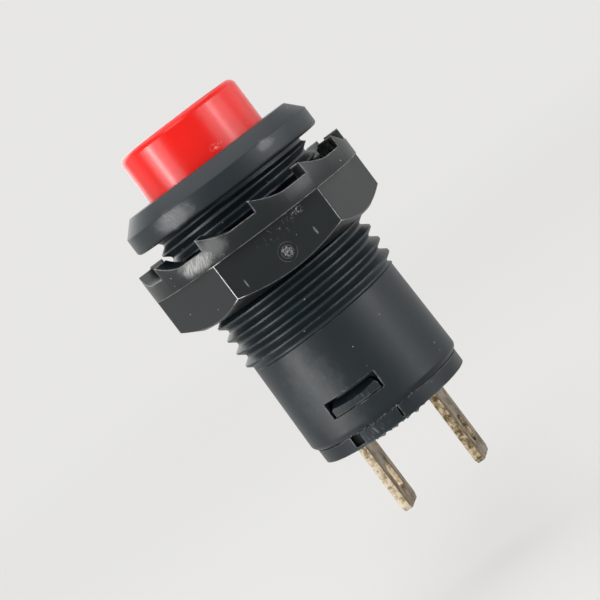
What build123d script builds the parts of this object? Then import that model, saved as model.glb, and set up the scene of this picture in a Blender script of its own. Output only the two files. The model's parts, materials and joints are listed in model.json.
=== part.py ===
from build123d import *
from math import cos, radians, sin, tan
import os

# Latching push button switch for a 12 mm panel hole, in millimetres.
# Origin: on the switch axis, in the plane of the flange's underside (the panel seat).
# +Z points out of the panel towards the button, the two blades stand apart along X.

# Housing: flange, threaded barrel and lower body, one moulding
flange_r = 7.2
flange_rim_h = 1.3
flange_bevel_w = 0.95
flange_bevel_h = 1.0
flange_edge = 0.1
neck_h = 0.3
thread_r = 6.0
thread_depth = 0.4
thread_lead = 0.25
barrel_len = 10.2
body_top_r = 5.65
body_flare = 0.15
body_len = 6.9
body_wall = 0.7
body_edge = 0.25

# Button cap
button_r = 4.55
button_gap = 0.1
button_rise = 3.45
button_wall = 0.9
button_top_t = 1.1
button_edge_r = 0.45
skirt_z = 0.0

# Travel of the button
full_travel = 3.0
latched_travel = 1.7
release_gap = 0.2
stop_gap = 0.05

# Latch: fins and crown on the plunger, lugs on the rotor, toothed ribs in the housing
latch_lugs = 6
lug_half_angle = 7.0
groove_half_angle = 8.0
rib_depth = 0.85
cam_angle = 27.5
cam_phase = 0.75
cam_gap = 0.05
cam_clearance = 0.15
cam_face_w = 1.35
lug_clearance = 0.1
fin_h = 1.35
lug_h = 1.6
rotor_len = 4.0
rotor_crown_t = 0.9
pin_r = 1.25
pin_len = 3.4
pin_clearance = 0.1
bore_head = 1.0
stem_r = 2.2
stem_len = 4.2
stem_fit = 0.01
boss_wall = 0.9
boss_gap = 1.0

# Contacts
ring_t = 0.4
ring_w = 1.4
ring_fit = 0.01
ring_neck_wall = 0.5
contact_gap = 1.5
leaf_t = 0.18
leaf_w = 1.6
leaf_hook_r = 0.55
leaf_hook_leg = 0.45

# Return spring
spring_wire = 0.35
spring_turns = 8
spring_turn_steps = 12
spring_side_gap = 0.12

# Base plug
rim_h = 1.0
rim_inset = 0.25
floor_t = 1.6
spigot_gap = 0.1
spigot_wall = 0.75
spigot_h = 3.5
post_h = 1.9
post_edge = 0.3

# Snap windows in the body, and the plug's tabs
window_w = 3.95
window_h = 1.2
window_rise = 1.5
tab_side_gap = 0.2
tab_seat_gap = 0.05
tab_face_depth = 0.12
tab_lip_h = 0.45
tab_ramp_h = 0.45
tab_corner = 0.35
slit_w = 0.5
notch_w = 0.75
notch_d = 0.9
notch_web = 0.2
notch_line_w = 0.12

# Terminals
blade_t = 0.56
blade_w = 2.8
blade_len = 5.85
blade_spacing = 5.9
blade_tip = 0.35
blade_fit = 0.01
blade_root_h = 1.5
shoulder_w = 3.4
shoulder_h = 0.6
eyelet_w = 1.0
eyelet_len = 2.1
eyelet_from_tip = 1.15

# Nut
nut_af = 14.0
nut_gap = 1.08
nut_bore_gap = 0.05
nut_teeth = 12
nut_tooth_h = 0.83
nut_tooth_run = 0.55
nut_ring_h = 1.17
nut_hex_h = 3.22
nut_ring_wall = 1.1
nut_pocket_d = 0.6
nut_face_inset = 0.15
nut_chamfer_angle = 30.0
nut_bore_edge = 0.3
nut_turn = 19.6

# Levels and radii that follow from the sizes above
past = 1.0
flange_top = flange_rim_h + flange_bevel_h
flange_top_r = flange_r - flange_bevel_w
thread_root_r = thread_r - thread_depth
neck_r = thread_root_r + thread_depth / 4
thread_end_z = -barrel_len
parting_z = thread_end_z - body_len
body_bottom_r = body_top_r + body_flare
chamber_r = body_top_r - body_wall
button_bore_r = button_r + button_gap
shoulder_z = skirt_z - full_travel - release_gap
rib_r = chamber_r - rib_depth
rotor_r = rib_r - cam_clearance
lug_r = chamber_r - lug_clearance
lug_pitch = 360.0 / latch_lugs
cam_pitch = lug_pitch / 2
cam_slope = tan(radians(cam_angle))
cam_inner_r = rotor_r - cam_face_w
cam_rise = cam_slope * radians(cam_pitch) * rotor_r
cam_overlap = cam_slope * radians(cam_phase * cam_pitch) * cam_inner_r
fin_top = shoulder_z - stop_gap
crown_z = fin_top - fin_h
rotor_z = crown_z - 2 * cam_rise + cam_overlap - cam_gap
lug_peak_z = rotor_z + cam_rise
notch_z = lug_peak_z - latched_travel
rib_tooth_h = full_travel - latched_travel - release_gap
rotor_bottom = rotor_z - rotor_len
ring_bottom = rotor_bottom - ring_t
cavity_top = rotor_z - rotor_crown_t
ring_neck_r = rotor_r - ring_w
cavity_r = ring_neck_r - ring_neck_wall
spring_r = cavity_r - spring_side_gap - spring_wire / 2
leaf_top = ring_bottom - contact_gap
rim_r = body_bottom_r - rim_inset
base_bottom = parting_z - rim_h
floor_z = base_bottom + floor_t
spigot_r = chamber_r - spigot_gap
spigot_top = parting_z + spigot_h
post_r = spring_r - spring_wire / 2 - spring_side_gap
window_z = parting_z + window_rise
blade_x = blade_spacing / 2
nut_ring_r = nut_af / 2 / cos(radians(30))
nut_bore_r = thread_r + nut_bore_gap
nut_valley_z = -nut_gap - nut_tooth_h
nut_ledge_z = nut_valley_z - nut_ring_h
nut_bottom = nut_ledge_z - nut_hex_h


def post(r, low, high):
    """Round bar on the switch axis between two levels."""
    return Pos(0, 0, low) * Cylinder(r, high - low, align=(Align.CENTER, Align.CENTER, Align.MIN))


def tube(outer_r, inner_r, low, high):
    return post(outer_r, low, high) - post(inner_r, low, high)


def turned(points):
    """Solid of revolution from (radius, level) points."""
    return revolve(Plane.XZ * make_face(Polyline(*points, close=True)), Axis.Z)


def sector(middle, half_angle, r, low, high):
    """Pie slice of a round bar, its two flat sides through the axis."""
    reach = 2 * r
    first, last = radians(middle - half_angle), radians(middle + half_angle)
    corners = [(0, 0), (reach * cos(first), reach * sin(first)), (reach * cos(last), reach * sin(last))]
    wedge = extrude(make_face(Polyline(*corners, close=True)), high - low)
    return (Pos(0, 0, low) * wedge) & post(r, low, high)


def radial_prism(angle, level, outline, reach):
    """Prism that runs outwards from the axis at an angle.

    The outline's points are (distance round the axis, height above the level).
    """
    turn = radians(angle)
    plane = Plane(origin=(0, 0, level), x_dir=(-sin(turn), cos(turn), 0), z_dir=(cos(turn), sin(turn), 0))
    return extrude(plane * make_face(outline), reach)


def rising_tooth(angle, level, rise, root, reach):
    """Saw tooth that stands on a level, climbing to a wall at the given angle."""
    run = rise / cam_slope
    outline = Polyline((0, -root), (0, rise), (-run, 0), (-run, -root), close=True)
    return radial_prism(angle, level, outline, reach)


def hanging_tooth(angle, level, drop, root, reach):
    """Saw tooth that hangs from a level, its wall at the given angle."""
    run = drop / cam_slope
    outline = Polyline((0, root), (0, -drop), (run, 0), (run, root), close=True)
    return radial_prism(angle, level, outline, reach)


def make_housing():
    lead_z = thread_end_z + thread_lead
    shell = turned(
        [
            (0, flange_top),
            (flange_top_r - flange_edge, flange_top),
            (flange_top_r, flange_top - flange_edge / 2),
            (flange_r, flange_rim_h),
            (flange_r, flange_edge),
            (flange_r - flange_edge, 0),
            (neck_r, 0),
            (neck_r, -neck_h),
            (thread_r, -neck_h - thread_lead),
            (thread_r, lead_z),
            (body_top_r, thread_end_z),
            (body_bottom_r, parting_z + body_edge),
            (body_bottom_r - body_edge, parting_z),
            (0, parting_z),
        ]
    )
    return shell - make_core() - make_windows()


def make_core():
    """The space inside the housing: button bore, latch ribs with their toothed ends, chamber."""
    teeth = [
        hanging_tooth(lug * lug_pitch + wall, notch_z, rib_tooth_h, past, 2 * chamber_r)
        for lug in range(latch_lugs)
        for wall in (lug_half_angle, cam_pitch + lug_half_angle)
    ]
    rib_zone = tube(chamber_r + past, rib_r, notch_z - 2 * rib_tooth_h, notch_z + past)
    chamber = post(chamber_r, parting_z - past, notch_z) - [tooth & rib_zone for tooth in teeth]
    grooves = [
        sector(lug * lug_pitch, groove_half_angle, chamber_r, notch_z - rib_tooth_h - past, shoulder_z)
        for lug in range(latch_lugs)
    ]
    bores = post(button_bore_r, shoulder_z, flange_top + past) + post(rib_r, notch_z - past, shoulder_z)
    return chamber + grooves + bores


def make_windows():
    """Two openings in the body's wall, where the plug's tabs hook in."""
    span = 2 * (body_bottom_r + past)
    return Pos(0, 0, window_z + window_h / 2) * Box(window_w, span, window_h)


def make_nut():
    face_r = nut_af / 2 - nut_face_inset
    cone_w = nut_ring_r + past - face_r
    cone_top = nut_bottom + cone_w * tan(radians(nut_chamfer_angle))
    blank = turned(
        [
            (0, nut_bottom),
            (face_r, nut_bottom),
            (face_r + cone_w, cone_top),
            (face_r + cone_w, nut_ledge_z),
            (0, nut_ledge_z),
        ]
    )
    hexagon = RegularPolygon(nut_af / 2, 6, major_radius=False)
    hexagon = Pos(0, 0, nut_bottom) * extrude(hexagon, nut_hex_h)
    ring_wall = tube(nut_ring_r, nut_ring_r - nut_ring_wall, nut_valley_z - nut_ring_h, -nut_gap + past)
    nut = (hexagon & blank) + post(nut_ring_r, nut_ledge_z, nut_valley_z)
    nut += [nut_tooth(index * 360 / nut_teeth) & ring_wall for index in range(nut_teeth)]
    nut -= post(nut_ring_r - nut_ring_wall, nut_valley_z - nut_pocket_d, nut_valley_z + past)
    nut -= turned(
        [
            (0, nut_bottom - past),
            (nut_bore_r + nut_bore_edge + past, nut_bottom - past),
            (nut_bore_r, nut_bottom + nut_bore_edge),
            (nut_bore_r, nut_valley_z),
            (0, nut_valley_z),
        ]
    )
    return Rot(0, 0, nut_turn) * nut


def nut_tooth(angle):
    """Ratchet tooth: a wall, then a hollow ramp that runs down to a flat."""
    run = nut_tooth_run * radians(360 / nut_teeth) * nut_ring_r
    ramp = ThreePointArc((0, nut_tooth_h), (0.42 * run, 0.46 * nut_tooth_h), (run, 0))
    back = Polyline((run, 0), (run, -nut_ring_h / 2), (0, -nut_ring_h / 2), (0, nut_tooth_h))
    return radial_prism(angle, nut_valley_z, Wire([ramp, *back.edges()]), 2 * nut_ring_r)


def make_button():
    top = flange_top + button_rise
    ceiling = top - button_top_t
    cap = post(button_r, skirt_z, top)
    cap = fillet(cap.edges().group_by(Axis.Z)[-1], button_edge_r)
    cap -= post(button_r - button_wall, skirt_z - past, ceiling)
    return cap + tube(stem_r + stem_fit + boss_wall, stem_r + stem_fit, skirt_z + boss_gap, ceiling)


def make_plunger():
    barrel = post(rotor_r, crown_z, skirt_z)
    fins = [
        sector(lug * lug_pitch, lug_half_angle, lug_r, crown_z, fin_top) for lug in range(latch_lugs)
    ]
    first_wall = lug_half_angle - cam_phase * cam_pitch
    below = tube(rotor_r, cam_inner_r, crown_z - 2 * cam_rise, crown_z + cam_rise / 2)
    teeth = [
        hanging_tooth(first_wall + index * cam_pitch, crown_z, cam_rise, cam_rise / 2, 2 * rotor_r) & below
        for index in range(2 * latch_lugs)
    ]
    stem = post(stem_r, crown_z, skirt_z + stem_len)
    bore = post(pin_r + pin_clearance, crown_z - 2 * cam_rise, skirt_z + bore_head)
    return barrel + fins + teeth + stem - bore


def make_rotor():
    lug_bottom = rotor_z - lug_h
    body = post(rotor_r, rotor_bottom, rotor_z) + post(ring_neck_r, ring_bottom, rotor_bottom)
    lugs = [
        sector(lug * lug_pitch, lug_half_angle, lug_r, lug_bottom, rotor_z) for lug in range(latch_lugs)
    ]
    tooth_zone = tube(rotor_r, cam_inner_r, rotor_z - cam_rise / 2, lug_peak_z + past)
    tooth_zone += [
        sector(lug * lug_pitch, lug_half_angle, lug_r, rotor_z - cam_rise / 2, lug_peak_z + past)
        - post(cam_inner_r, rotor_z - cam_rise, lug_peak_z + 2 * past)
        for lug in range(latch_lugs)
    ]
    teeth = [
        rising_tooth(lug_half_angle + index * cam_pitch, rotor_z, cam_rise, cam_rise / 2, 2 * lug_r)
        & tooth_zone
        for index in range(2 * latch_lugs)
    ]
    pin = post(pin_r, rotor_z, rotor_z + pin_len)
    return body + lugs + teeth + pin - post(cavity_r, ring_bottom - past, cavity_top)


def make_contact_ring():
    return tube(rotor_r, ring_neck_r + ring_fit, ring_bottom, rotor_bottom)


def make_return_spring():
    """Open coil between the plug's floor and the rotor's cavity, in short straight steps."""
    height = cavity_top - floor_z - spring_wire
    steps = spring_turns * spring_turn_steps
    points = []
    for step in range(steps + 1):
        turn = radians(step * 360 / spring_turn_steps)
        points.append((spring_r * cos(turn), spring_r * sin(turn), height * step / steps))
    path = Polyline(*points)
    wire = Plane(origin=path @ 0, z_dir=path % 0) * RegularPolygon(spring_wire / 2, 6)
    coil = sweep(wire, path=path, transition=Transition.RIGHT)
    return Pos(0, 0, floor_z + spring_wire / 2) * coil


def make_base_plug():
    plug = post(rim_r, base_bottom, parting_z) + post(spigot_r, base_bottom, floor_z)
    plug += tube(spigot_r, spigot_r - spigot_wall, floor_z - floor_t / 2, spigot_top)
    spring_post = post(post_r, floor_z - floor_t / 2, floor_z + post_h)
    plug += chamfer(spring_post.edges().group_by(Axis.Z)[-1], post_edge)
    for turn in (0, 180):
        plug += Rot(0, 0, turn) * make_hook()
        plug -= [Rot(0, 0, turn) * cut for cut in make_slits() + make_rim_cuts()]
    for side in (-1, 1):
        hole = Box(blade_t + 2 * blade_fit, blade_w + 2 * blade_fit, 2 * floor_t)
        plug -= Pos(side * blade_x, 0, floor_z - floor_t / 2) * hole
    return plug


def make_hook():
    """Snap hook on the -Y tab: a lip that seats on the window's lower edge, and a lead-in ramp."""
    low = window_z + tab_seat_gap
    lip_top = low + tab_lip_h
    top = lip_top + tab_ramp_h
    face_r = body_bottom_r - tab_face_depth
    inner_r = spigot_r - spigot_wall / 2
    side = Polyline(
        (-inner_r, low), (-face_r, low), (-face_r, lip_top), (-spigot_r, top), (-inner_r, top), close=True
    )
    half = window_w / 2 - tab_side_gap
    front = Polyline(
        (-half, low), (half, low), (half, lip_top), (half - tab_corner, top),
        (tab_corner - half, top), (-half, lip_top), close=True
    )
    wedge = extrude(Plane.YZ * make_face(side), window_w / 2, both=True)
    face = extrude(Plane.XZ * make_face(front), 2 * face_r)
    return wedge & face & post(face_r, low, top)


def make_slits():
    """The two slits beside a tab, which let it bend as the plug goes in."""
    inner = spigot_r - 3 * spigot_wall
    depth = spigot_r + past - inner
    height = spigot_top + past - parting_z
    slit = Pos(0, -inner - depth / 2, parting_z + height / 2) * Box(slit_w, depth, height)
    return [Pos(side * (window_w + slit_w) / 2, 0, 0) * slit for side in (-1, 1)]


def make_rim_cuts():
    """In the rim under a tab: an open notch at one end, and hardly more than a line at the other."""
    height = rim_h - notch_web
    middle = Pos(0, notch_d / 2 - rim_r, parting_z - height / 2)
    notch = Pos((notch_w - window_w) / 2, 0, 0) * middle * Box(notch_w, notch_d, height)
    line = Pos(window_w / 2 - tab_side_gap, 0, 0) * middle * Box(notch_line_w, notch_d, height)
    return [notch, line]


def make_terminal(side):
    """Flat solder blade, wider above the plug's floor, with an eyelet near its tip."""
    tip = base_bottom - blade_len
    top = floor_z + blade_root_h
    blade = Pos(0, (tip + top) / 2) * Rectangle(blade_w, top - tip)
    tip_corners = blade.vertices().group_by(Axis.Y)[0]
    blade = chamfer(tip_corners, blade_tip)
    blade += Pos(0, floor_z + shoulder_h / 2) * Rectangle(shoulder_w, shoulder_h)
    eyelet = Rot(0, 0, 90) * SlotOverall(eyelet_len, eyelet_w)
    blade -= Pos(0, tip + eyelet_from_tip + eyelet_len / 2) * eyelet
    return extrude(Plane.YZ.offset(side * blade_x) * blade, blade_t / 2, both=True)


def make_leaf(side):
    """Contact spring on a blade's inner face, its hooked head under the contact ring."""
    leg_x = blade_x - blade_t / 2 - leaf_t / 2
    hook_x = leg_x + leaf_hook_r
    hook_z = leaf_top - leaf_hook_r - leaf_t / 2
    outer_r = leaf_hook_r + leaf_t / 2
    root_z = floor_z + shoulder_h / 2
    hook = Circle(outer_r) - Circle(leaf_hook_r - leaf_t / 2)
    hook &= Pos(0, outer_r) * Rectangle(4 * outer_r, 2 * outer_r)
    strip = Pos(hook_x, hook_z) * hook
    strip += Pos(leg_x, (hook_z + root_z) / 2) * Rectangle(leaf_t, hook_z - root_z)
    strip += Pos(hook_x + leaf_hook_r, hook_z - leaf_hook_leg / 2) * Rectangle(leaf_t, leaf_hook_leg)
    leaf = extrude(Plane.XZ * strip, leaf_w / 2, both=True)
    return leaf if side > 0 else Rot(0, 0, 180) * leaf


pieces = {
    "housing": make_housing(),
    "hex_nut": make_nut(),
    "button": make_button(),
    "plunger": make_plunger(),
    "latch_rotor": make_rotor(),
    "contact_ring": make_contact_ring(),
    "return_spring": make_return_spring(),
    "base_plug": make_base_plug(),
    "terminal_left": make_terminal(-1),
    "terminal_right": make_terminal(1),
    "contact_leaf_left": make_leaf(-1),
    "contact_leaf_right": make_leaf(1),
}

os.makedirs("parts", exist_ok=True)
for name, solid in pieces.items():
    export_step(solid, f"parts/{name}.step")
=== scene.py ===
import json
from math import atan2, cos, degrees, pi, radians, sin, tan

import bmesh
import bpy
from mathutils import Matrix, Vector, noise


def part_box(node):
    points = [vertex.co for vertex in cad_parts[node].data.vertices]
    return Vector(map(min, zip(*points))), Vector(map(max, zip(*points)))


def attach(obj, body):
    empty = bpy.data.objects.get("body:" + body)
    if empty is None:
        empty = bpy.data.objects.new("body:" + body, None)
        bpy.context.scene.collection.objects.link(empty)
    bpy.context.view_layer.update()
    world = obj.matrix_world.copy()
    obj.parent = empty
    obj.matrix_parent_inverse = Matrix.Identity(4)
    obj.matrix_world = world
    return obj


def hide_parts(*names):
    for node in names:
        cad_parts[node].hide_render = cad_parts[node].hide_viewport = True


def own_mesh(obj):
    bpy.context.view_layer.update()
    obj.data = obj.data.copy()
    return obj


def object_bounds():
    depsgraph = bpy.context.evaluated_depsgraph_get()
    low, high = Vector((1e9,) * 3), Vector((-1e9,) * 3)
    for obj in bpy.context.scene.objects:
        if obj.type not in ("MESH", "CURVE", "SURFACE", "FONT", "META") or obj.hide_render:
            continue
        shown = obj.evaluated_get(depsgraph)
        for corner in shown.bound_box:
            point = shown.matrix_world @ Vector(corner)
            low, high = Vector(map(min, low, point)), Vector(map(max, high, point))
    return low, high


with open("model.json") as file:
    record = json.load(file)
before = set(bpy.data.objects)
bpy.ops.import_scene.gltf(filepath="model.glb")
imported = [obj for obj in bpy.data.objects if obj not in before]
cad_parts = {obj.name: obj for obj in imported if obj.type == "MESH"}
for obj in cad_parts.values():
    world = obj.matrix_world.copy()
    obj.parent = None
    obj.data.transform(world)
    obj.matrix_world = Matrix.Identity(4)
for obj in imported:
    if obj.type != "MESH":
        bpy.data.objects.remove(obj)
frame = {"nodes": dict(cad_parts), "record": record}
cadLow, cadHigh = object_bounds()
mm = 0.001

# the dictionaries hold millimetres and the boxes metres, +Z runs along the switch towards the button
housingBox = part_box("housing")
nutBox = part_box("hex_nut")
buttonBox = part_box("button")


# small helpers for node trees
def feed(tree, socket, value):
    if isinstance(value, bpy.types.NodeSocket):
        tree.links.new(value, socket)
    else:
        socket.default_value = value


def addNode(tree, kind, inputs=None, **settings):
    node = tree.nodes.new(kind)
    for key, value in settings.items():
        setattr(node, key, value)
    for key, value in (inputs or {}).items():
        feed(tree, node.inputs[key], value)
    return node


def calc(tree, operation, *values):
    return addNode(tree, "ShaderNodeMath", dict(enumerate(values)), operation=operation).outputs[0]


def plus(tree, first, second):
    return calc(tree, "ADD", first, second)


def minus(tree, first, second):
    return calc(tree, "SUBTRACT", first, second)


def times(tree, first, second):
    return calc(tree, "MULTIPLY", first, second)


def vectorCalc(tree, operation, *values):
    node = addNode(tree, "ShaderNodeVectorMath", dict(enumerate(values)), operation=operation)
    return node.outputs["Value" if operation == "LENGTH" else "Vector"]


def ramp(tree, value, low, high, toLow=0.0, toHigh=1.0, smooth=True):
    inputs = {"Value": value, "From Min": low, "From Max": high, "To Min": toLow, "To Max": toHigh}
    return addNode(tree, "ShaderNodeMapRange", inputs,
                   interpolation_type="SMOOTHSTEP" if smooth else "LINEAR").outputs[0]


def mixColour(tree, factor, first, second):
    return addNode(tree, "ShaderNodeMix", {0: factor, 6: first, 7: second}, data_type="RGBA").outputs[2]


def mixValue(tree, factor, first, second):
    return addNode(tree, "ShaderNodeMix", {0: factor, 2: first, 3: second}, data_type="FLOAT").outputs[0]


def cloud(tree, place, scale, detail, roughness=0.5):
    return addNode(tree, "ShaderNodeTexNoise", {"Vector": place, "Scale": scale, "Detail": detail,
                                                "Roughness": roughness}).outputs[0]


def colour(red, green, blue):
    # display values from 0 to 255, made linear
    def linear(value):
        share = value / 255
        return share / 12.92 if share <= 0.04045 else ((share + 0.055) / 1.055) ** 2.4

    return (linear(red), linear(green), linear(blue), 1.0)


# shader groups, each built once
def newShaderGroup(name, inputs, outputs):
    # inputs: the first value of each, outputs: their names
    tree = bpy.data.node_groups.new(name, "ShaderNodeTree")
    for label, value in inputs.items():
        kind = "NodeSocketVector" if isinstance(value, tuple) else "NodeSocketFloat"
        tree.interface.new_socket(label, in_out="INPUT", socket_type=kind).default_value = value
    for label in outputs:
        tree.interface.new_socket(label, in_out="OUTPUT", socket_type="NodeSocketFloat")
    return tree, tree.nodes.new("NodeGroupInput").outputs, tree.nodes.new("NodeGroupOutput").inputs


def buildMouldedGrain():
    # fine spark grain of a moulding tool, and slow changes of tone in the resin
    tree, given, result = newShaderGroup("mouldedGrain", {
        "Place": (0.0, 0.0, 0.0), "Grain Scale": 9000.0, "Flow Scale": 320.0}, ["Height", "Tone"])
    feed(tree, result["Height"], cloud(tree, given["Place"], given["Grain Scale"], 3.0, 0.62))
    flow = cloud(tree, given["Place"], given["Flow Scale"], 3.0)
    feed(tree, result["Tone"], ramp(tree, flow, 0.2, 0.8, smooth=False))
    return tree


def buildEdgeWearAndHighlight():
    # how close a point is to an outward edge, broken up so that it comes and goes: edge wear, and on the
    # black plastics also a painted highlight along edges and thread crests
    tree, given, result = newShaderGroup("edgeWearAndHighlight", {
        "Place": (0.0, 0.0, 0.0), "Width": 0.00012, "Break Scale": 1400.0, "Spread": 0.5}, ["Mask"])
    inside = addNode(tree, "ShaderNodeAmbientOcclusion", {"Distance": given["Width"]},
                     samples=6, inside=True, only_local=True)
    edge = ramp(tree, minus(tree, 1.0, inside.outputs["AO"]), 0.12, 0.5)
    # a larger spread lowers the level from which the edge marks show
    low = minus(tree, 0.75, times(tree, given["Spread"], 0.6))
    breaks = cloud(tree, given["Place"], given["Break Scale"], 5.0, 0.7)
    patchy = ramp(tree, breaks, low, plus(tree, low, 0.25))
    feed(tree, result["Mask"], times(tree, edge, patchy))
    return tree


def buildScuffAndSheenField():
    # fine parallel scratches, or specks where nothing is stretched, inside a soft-edged patch; its last input
    # lightens the whole patch evenly, a painted sheen
    tree, given, result = newShaderGroup("scuffAndSheenField", {
        "Place": (0.0, 0.0, 0.0), "Centre": (0.0, 0.0, 0.0), "Reach": (0.001, 0.001, 0.001),
        "Slant": (0.0, 0.0, 0.0), "Fineness": 5000.0, "Stretch": (1.0, 1.0, 0.07),
        "Amount": 0.5, "Painted Sheen": 0.0}, ["Mask"])
    local = vectorCalc(tree, "SUBTRACT", given["Place"], given["Centre"])
    away = vectorCalc(tree, "LENGTH", vectorCalc(tree, "DIVIDE", local, given["Reach"]))
    blot = times(tree, cloud(tree, given["Place"], 1500.0, 4.0, 0.65), 0.9)
    patch = ramp(tree, plus(tree, away, blot), 0.75, 1.45, 1.0, 0.0)
    turned = addNode(tree, "ShaderNodeVectorRotate", {"Vector": local, "Rotation": given["Slant"]},
                     rotation_type="EULER_XYZ")
    stretched = vectorCalc(tree, "MULTIPLY", turned.outputs[0], given["Stretch"])
    streaks = cloud(tree, stretched, given["Fineness"], 4.0, 0.75)
    low = minus(tree, 0.72, times(tree, given["Amount"], 0.4))
    lines = ramp(tree, streaks, low, plus(tree, low, 0.16))
    marked = calc(tree, "MAXIMUM", lines, given["Painted Sheen"])
    feed(tree, result["Mask"], times(tree, patch, marked))
    return tree


def buildDustSpecks():
    # a few pale specks of dust and nicks
    tree, given, result = newShaderGroup("dustSpecks", {
        "Place": (0.0, 0.0, 0.0), "Spacing Scale": 900.0, "Size": 0.09, "Share": 0.1}, ["Mask"])
    cells = addNode(tree, "ShaderNodeTexVoronoi", {"Vector": given["Place"], "Scale": given["Spacing Scale"]})
    picked = addNode(tree, "ShaderNodeSeparateColor", {"Color": cells.outputs["Color"]})
    chosen = calc(tree, "LESS_THAN", picked.outputs[0], given["Share"])
    size = times(tree, given["Size"], plus(tree, picked.outputs[1], 0.35))
    dot = ramp(tree, cells.outputs["Distance"], size, times(tree, size, 0.6))
    feed(tree, result["Mask"], times(tree, dot, chosen))
    return tree


mouldedGrain = buildMouldedGrain()
edgeWearAndHighlight = buildEdgeWearAndHighlight()
scuffAndSheenField = buildScuffAndSheenField()
dustSpecks = buildDustSpecks()


def useGroup(tree, group, place, inputs):
    return addNode(tree, "ShaderNodeGroup", {"Place": place, **inputs}, node_tree=group).outputs


def newMaterial(name):
    material = bpy.data.materials.new(name)
    material.use_nodes = True
    tree = material.node_tree
    shader = tree.nodes["Principled BSDF"]
    place = tree.nodes.new("ShaderNodeTexCoord").outputs["Object"]
    return material, tree, shader, place


def feedShader(tree, shader, base, roughness, height, strength, depth):
    feed(tree, shader.inputs["Base Color"], base)
    feed(tree, shader.inputs["Roughness"], roughness)
    bump = addNode(tree, "ShaderNodeBump", {"Strength": strength, "Distance": depth * mm, "Height": height})
    feed(tree, shader.inputs["Normal"], bump.outputs[0])


plasticFinish = {
    "dustStrength": 0.8,
    "roughnessSwing": 0.05,   # either way, with the tone of the resin
    "wornRoughness": 0.62,
    "markDepth": 0.8,
    "bumpHeight": 0.02,
}


def mouldedPlastic(name, look, finish=plasticFinish):
    material, tree, shader, place = newMaterial(name)
    grain = useGroup(tree, mouldedGrain, place, {"Grain Scale": look["grainScale"],
                                                 "Flow Scale": look["flowScale"]})
    edgeMask = useGroup(tree, edgeWearAndHighlight, place, {"Width": look["edgeWidth"] * mm,
                                            "Spread": look["edgeSpread"]})["Mask"]
    # edges and patches take the lighter colour: wear, and on the black plastics painted highlights as well
    marksAndHighlights = times(tree, edgeMask, look["edgeStrength"])
    for strength, inputs in look["scuffsAndSheen"]:
        mask = useGroup(tree, scuffAndSheenField, place, inputs)["Mask"]
        marksAndHighlights = calc(tree, "MAXIMUM", marksAndHighlights, times(tree, mask, strength))
    dust = useGroup(tree, dustSpecks, place, {"Spacing Scale": look["dustScale"], "Size": look["dustSize"],
                                              "Share": look["dustShare"]})["Mask"]
    dust = times(tree, dust, finish["dustStrength"])
    base = mixColour(tree, grain["Tone"], colour(*look["dark"]), colour(*look["light"]))
    base = mixColour(tree, marksAndHighlights, base, colour(*look["wornAndLit"]))
    base = mixColour(tree, dust, base, colour(*look["dust"]))
    rough = mixValue(tree, grain["Tone"], look["roughness"] - finish["roughnessSwing"],
                     look["roughness"] + finish["roughnessSwing"])
    rough = mixValue(tree, marksAndHighlights, rough, finish["wornRoughness"])
    height = plus(tree, grain["Height"], times(tree, marksAndHighlights, -finish["markDepth"]))
    feedShader(tree, shader, base, rough, height, look["bump"], finish["bumpHeight"])
    shader.inputs["Specular IOR Level"].default_value = look["specular"]
    return material


metalFinish = {
    "grainStretch": (1.0, 1.0, 0.12),
    "speckSize": 0.32,
    "speckStrength": 0.8,
    "stainRoughness": 0.16,   # how much rougher the stained metal is
    "blotDepth": 1.5,
    "bumpHeight": 0.01,
}


def metalSheet(name, look, finish=metalFinish):
    material, tree, shader, place = newMaterial(name)
    blot = cloud(tree, place, look["blotScale"], 6.0, 0.68)
    fine = cloud(tree, vectorCalc(tree, "MULTIPLY", place, finish["grainStretch"]), look["grainScale"], 3.0)
    stain = ramp(tree, blot, look["stainLow"], look["stainHigh"])
    edgeMask = useGroup(tree, edgeWearAndHighlight, place, {"Width": look["edgeWidth"] * mm, "Spread": 1.0})["Mask"]
    edgeMask = times(tree, edgeMask, look["edgeStrength"])
    specks = useGroup(tree, dustSpecks, place, {"Spacing Scale": look["speckScale"],
                                                "Size": finish["speckSize"], "Share": look["speckShare"]})
    specks = times(tree, specks["Mask"], finish["speckStrength"])
    base = mixColour(tree, stain, colour(*look["clean"]), colour(*look["tarnish"]))
    base = mixColour(tree, specks, base, colour(*look["speck"]))
    base = mixColour(tree, edgeMask, base, colour(*look["bare"]))
    rough = mixValue(tree, stain, look["roughness"], look["roughness"] + finish["stainRoughness"])
    height = plus(tree, fine, times(tree, blot, finish["blotDepth"]))
    feedShader(tree, shader, base, rough, height, look["bump"], finish["bumpHeight"])
    shader.inputs["Metallic"].default_value = look["metallic"]
    return material


def scuffAndSheen(centre, reach, amount, strength, slant=0, fineness=5200.0, stretch=(1.0, 1.0, 0.07), paintedSheen=0.0):
    # a patch of wear, which its last argument lightens evenly as a painted sheen; its slant in degrees: gives
    # its strength and what its node group takes
    return strength, {"Centre": [value * mm for value in centre], "Reach": [value * mm for value in reach],
                      "Slant": (0.0, radians(slant), 0.0), "Fineness": fineness, "Stretch": stretch,
                      "Amount": amount, "Painted Sheen": paintedSheen}


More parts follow.
